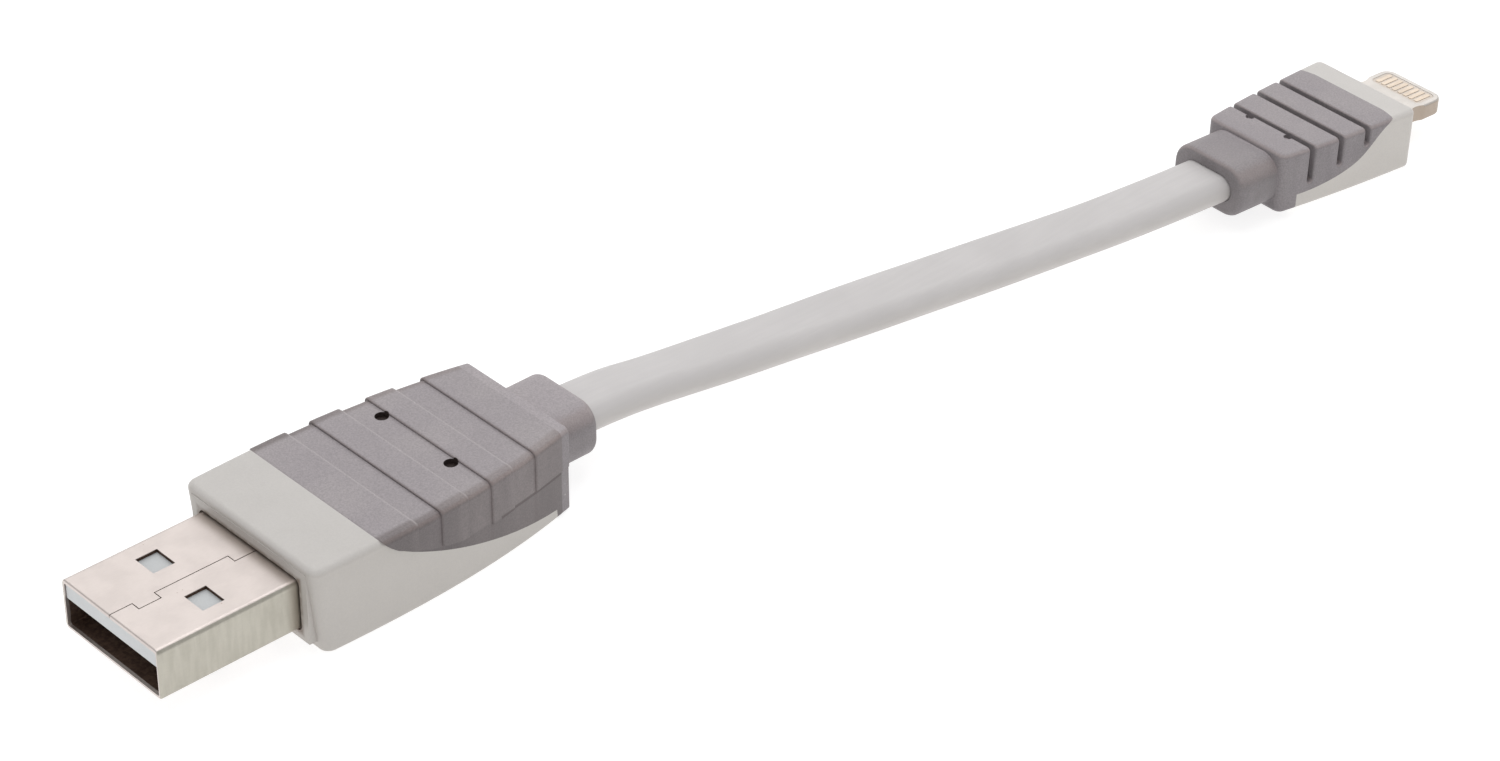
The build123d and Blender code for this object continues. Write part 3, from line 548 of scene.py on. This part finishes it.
def shell_steel():
    """Satin nickel plate outside, with painted shade in dark brown on the inside walls and the cut
    edges.
    """
    plate = paint((214, 204, 199))
    look = Look("shell_steel", metallic=0.9)
    along, across, up = (look.axis(name) for name in "XYZ")
    clouds = look.noise(2.2 * MM, 4.0)
    fine = look.noise(0.12 * MM, 4.0, (5, 1, 1))
    specks = look.is_under(look.cells(0.9 * MM), 0.07)
    marked = look.times(specks, look.steps(look.noise(2 * MM, 1.0), 0.52, 0.62))
    tone = look.mix(look.steps(clouds, 0.35, 0.65), shade(plate, 0.95), shade(plate, 1.02))
    tone = look.mix(look.times(marked, 0.5), tone, paint((150, 128, 112)))
    # the side walls are streaked and painted darker as painted shade; next to the housing the
    # shell is browner, partly dirt and partly painted shade
    streaks = look.noise(0.5 * MM, 3.0, (1, 1, 6))
    streaked_side_shade = look.steps(streaks, 0.3, 0.7)
    streaked_side_shade = look.mix(streaked_side_shade, paint((178, 174, 163)), paint((188, 184, 173)))
    side = look.is_over(look.size(across), SHELL_SIDE - 0.2 * MM)
    tone = look.mix(side, tone, streaked_side_shade)
    edge = look.steps(along, HOUSING_FACE - 1.3 * MM, HOUSING_FACE - 0.2 * MM)
    tone = look.mix(look.times(edge, 0.35), tone, paint((158, 142, 126)))
    # painted shade inside the mouth, and on the cut edges of the windows and the seam
    sideways = look.size(across)
    off_axis = look.size(look.minus(up, SHELL_AXIS))
    room = look.is_under(sideways, SHELL_SIDE - 0.93 * SHELL_WALL)
    room = look.times(room, look.is_under(off_axis, SHELL_HALF - 0.93 * SHELL_WALL))
    cut = look.is_under(sideways, CUT_SIDE)
    cut = look.times(cut, look.is_under(off_axis, SHELL_HALF - 0.05 * MM))
    inside = look.larger(room, cut)
    inside = look.times(inside, look.is_over(along, SHELL_TIP + 0.3 * MM))
    patches = look.steps(look.noise(0.3 * MM), 0.3, 0.7)
    inside_shade = look.mix(patches, paint((84, 66, 58)), paint((112, 92, 80)))
    # the seam's own walls get a paler painted shade than the windows'
    seam = look.is_under(sideways, SEAM_SIDE)
    seam = look.times(seam, look.is_over(up, SHELL_TOP - SHELL_WALL))
    inside_shade = look.mix(seam, inside_shade, paint((170, 150, 138)))
    look.colour(look.mix(inside, tone, inside_shade))
    gloss = look.steps(fine, 0.3, 0.7, 0.34, 0.46)
    look.roughness(look.plus(gloss, look.times(inside, 0.3)))
    look.bump(fine, 0.002 * MM)
    return look.material


def tongue_plastic():
    colour = paint((206, 208, 209))
    return moulded_plastic("tongue_plastic", colour, 0.12 * MM, 0.004 * MM, 0.4, (0.98, 1.0, 1.01))


def plated(name, colour, roughness, grain):
    """Plated metal: a faint brushed grain and cloudy gloss."""
    look = Look(name, metallic=1.0)
    brushed = look.noise(grain, 4.0, (6, 1, 1))
    clouds = look.noise(1.2 * MM, 3.0)
    look.colour(look.mix(look.steps(clouds, 0.35, 0.65), shade(colour, 0.93), shade(colour, 1.04)))
    look.roughness(look.steps(brushed, 0.3, 0.7, roughness - 0.07, roughness + 0.07))
    look.bump(brushed, 0.002 * MM)
    return look.material


def contact_gold():
    return plated("contact_gold", paint((230, 214, 196)), 0.36, 0.08 * MM)


def solder():
    return plated("solder", paint((196, 196, 194)), 0.25, 0.2 * MM)


def clamp_brass():
    return plated("clamp_brass", paint((208, 180, 122)), 0.35, 0.15 * MM)


def copper():
    return plated("copper", paint((214, 142, 104)), 0.3, 0.06 * MM)


def can_steel():
    return plated("can_steel", paint((198, 197, 193)), 0.32, 0.12 * MM)


def tab_steel():
    """The satin tab, with painted shade: darker and browner on its sides and in its two latch
    notches.
    """
    plate = paint((222, 216, 210))
    look = Look("tab_steel", metallic=0.85)
    brushed = look.noise(0.1 * MM, 4.0, (6, 1, 1))
    clouds = look.noise(1.5 * MM, 3.0)
    tone = look.mix(look.steps(clouds, 0.35, 0.65), shade(plate, 0.94), shade(plate, 1.02))
    # painted shade on faces that look sideways
    sidelong = look.steps(look.axis("Z", look.facing), 0.2, 0.8, 1.0, 0.0)
    look.colour(look.mix(look.times(sidelong, 0.75), tone, paint((150, 132, 114))))
    look.roughness(look.steps(brushed, 0.3, 0.7, 0.3, 0.42))
    look.bump(brushed, 0.002 * MM)
    return look.material


def carrier_plastic():
    colour = paint((226, 214, 202))
    return moulded_plastic("carrier_plastic", colour, 0.1 * MM, 0.003 * MM, 0.4)


def inner_mould_plastic():
    colour = paint((226, 226, 218))
    return moulded_plastic("inner_mould_plastic", colour, 0.3 * MM, 0.01 * MM, 0.5)


def chip_black():
    return moulded_plastic("chip_black", paint((46, 46, 48)), 0.06 * MM, 0.004 * MM, 0.55)


def component_body():
    return moulded_plastic("component_body", paint((168, 142, 112)), 0.1 * MM, 0.003 * MM, 0.45)


def board_green():
    """Solder resist over copper tracks that run along the board."""
    look = Look("board_green")
    tracks = look.noise(0.35 * MM, 1.0, (8, 1, 1))
    fine = look.noise(0.1 * MM)
    mask = look.steps(tracks, 0.48, 0.52)
    look.colour(look.mix(mask, paint((24, 92, 50)), paint((48, 124, 70))))
    look.roughness(look.steps(fine, 0.3, 0.7, 0.3, 0.42))
    look.bump(mask, 0.015 * MM)
    return look.material


def insulation(name, colour):
    """A wire's coloured skin, with a slow change of tone along it."""
    look = Look(name)
    along = look.noise(0.3 * MM, 2.0, (10, 1, 1))
    look.colour(look.mix(look.steps(along, 0.3, 0.7), shade(colour, 0.85), shade(colour, 1.12)))
    look.roughness(look.steps(along, 0.3, 0.7, 0.3, 0.42))
    look.bump(along, 0.004 * MM)
    return look.material


MATERIALS = {
    "housing_white": housing_white(),
    "jacket_white": jacket_white(),
    "grip_grey": grip_grey(),
    "shell_steel": shell_steel(),
    "tongue_plastic": tongue_plastic(),
    "contact_gold": contact_gold(),
    "solder": solder(),
    "clamp_brass": clamp_brass(),
    "copper": copper(),
    "can_steel": can_steel(),
    "tab_steel": tab_steel(),
    "carrier_plastic": carrier_plastic(),
    "inner_mould_plastic": inner_mould_plastic(),
    "chip_black": chip_black(),
    "component_body": component_body(),
    "board_green": board_green(),
    "wire_red": insulation("wire_red", paint((196, 44, 38))),
    "wire_white": insulation("wire_white", paint((222, 222, 218))),
    "wire_green": insulation("wire_green", paint((46, 140, 66))),
    "wire_black": insulation("wire_black", paint((40, 40, 42))),
}


def dress(piece, slot_name):
    """Puts a slot's material on a piece."""
    if not piece.material_slots:
        piece.data.materials.append(None)
    for material_slot in piece.material_slots:
        material_slot.material = MATERIALS[slot_name]


for subpart in frame["record"]["subparts"]:
    dress(frame["nodes"][subpart["node"]], subpart["material_slot"])
dress(flat_cord, "jacket_white")


# ---------------------------------------------------------------- floor, world and lights
FLOOR_HALF = 2.5
FLOOR_GAP = 0.05 * MM         # keeps the housing's flat underside off the floor
FLOOR_GLOW = 0.76
SKY = {"From Min": -0.3, "From Max": 0.5, "To Min": 0.5, "To Max": 0.58}
MIDDLE = (0.04, -0.005, 0.0)  # where the lights aim


def make_floor():
    mesh = bmesh.new()
    bmesh.ops.create_grid(mesh, x_segments=8, y_segments=8, size=FLOOR_HALF)
    data = bpy.data.meshes.new("floor")
    mesh.to_mesh(data)
    mesh.free()
    floor = bpy.data.objects.new("floor", data)
    floor.location.z = cad_bounds[0][2] - FLOOR_GAP
    bpy.context.scene.collection.objects.link(floor)
    look = Look("floor_white", 0.8)
    look.colour(look.mix(look.noise(0.2, 2.0), (0.44, 0.44, 0.44), (0.46, 0.46, 0.46)))
    look.shader.inputs["Emission Color"].default_value = (1, 1, 1, 1)
    look.shader.inputs["Emission Strength"].default_value = FLOOR_GLOW
    data.materials.append(look.material)


def make_world():
    """A pale room: brighter overhead, and greyer at and below the horizon."""
    world = bpy.data.worlds.new("room")
    world.use_nodes = True
    tree = world.node_tree
    place = tree.nodes.new("ShaderNodeTexCoord")
    split = tree.nodes.new("ShaderNodeSeparateXYZ")
    ramp = tree.nodes.new("ShaderNodeMapRange")
    for socket, value in SKY.items():
        ramp.inputs[socket].default_value = value
    tree.nodes["Background"].inputs["Color"].default_value = (1, 1, 1, 1)
    tree.links.new(place.outputs["Generated"], split.inputs[0])
    tree.links.new(split.outputs["Z"], ramp.inputs["Value"])
    tree.links.new(ramp.outputs[0], tree.nodes["Background"].inputs["Strength"])
    bpy.context.scene.world = world


def softbox(name, place, aim, size, power):
    data = bpy.data.lights.new(name, "AREA")
    data.shape = "RECTANGLE"
    data.size, data.size_y = size
    data.energy = power
    light = bpy.data.objects.new(name, data)
    light.location = place
    light.rotation_euler = (Vector(aim) - Vector(place)).to_track_quat("-Z", "Y").to_euler()
    bpy.context.scene.collection.objects.link(light)


make_floor()
make_world()
softbox("softbox_above", (0.08, 0.1, 0.6), MIDDLE, (0.5, 0.5), 1.15)
softbox("softbox_behind", (0.4, 0.4, 0.36), MIDDLE, (0.7, 0.5), 0.7)
bpy.context.scene.view_settings.view_transform = "Standard"
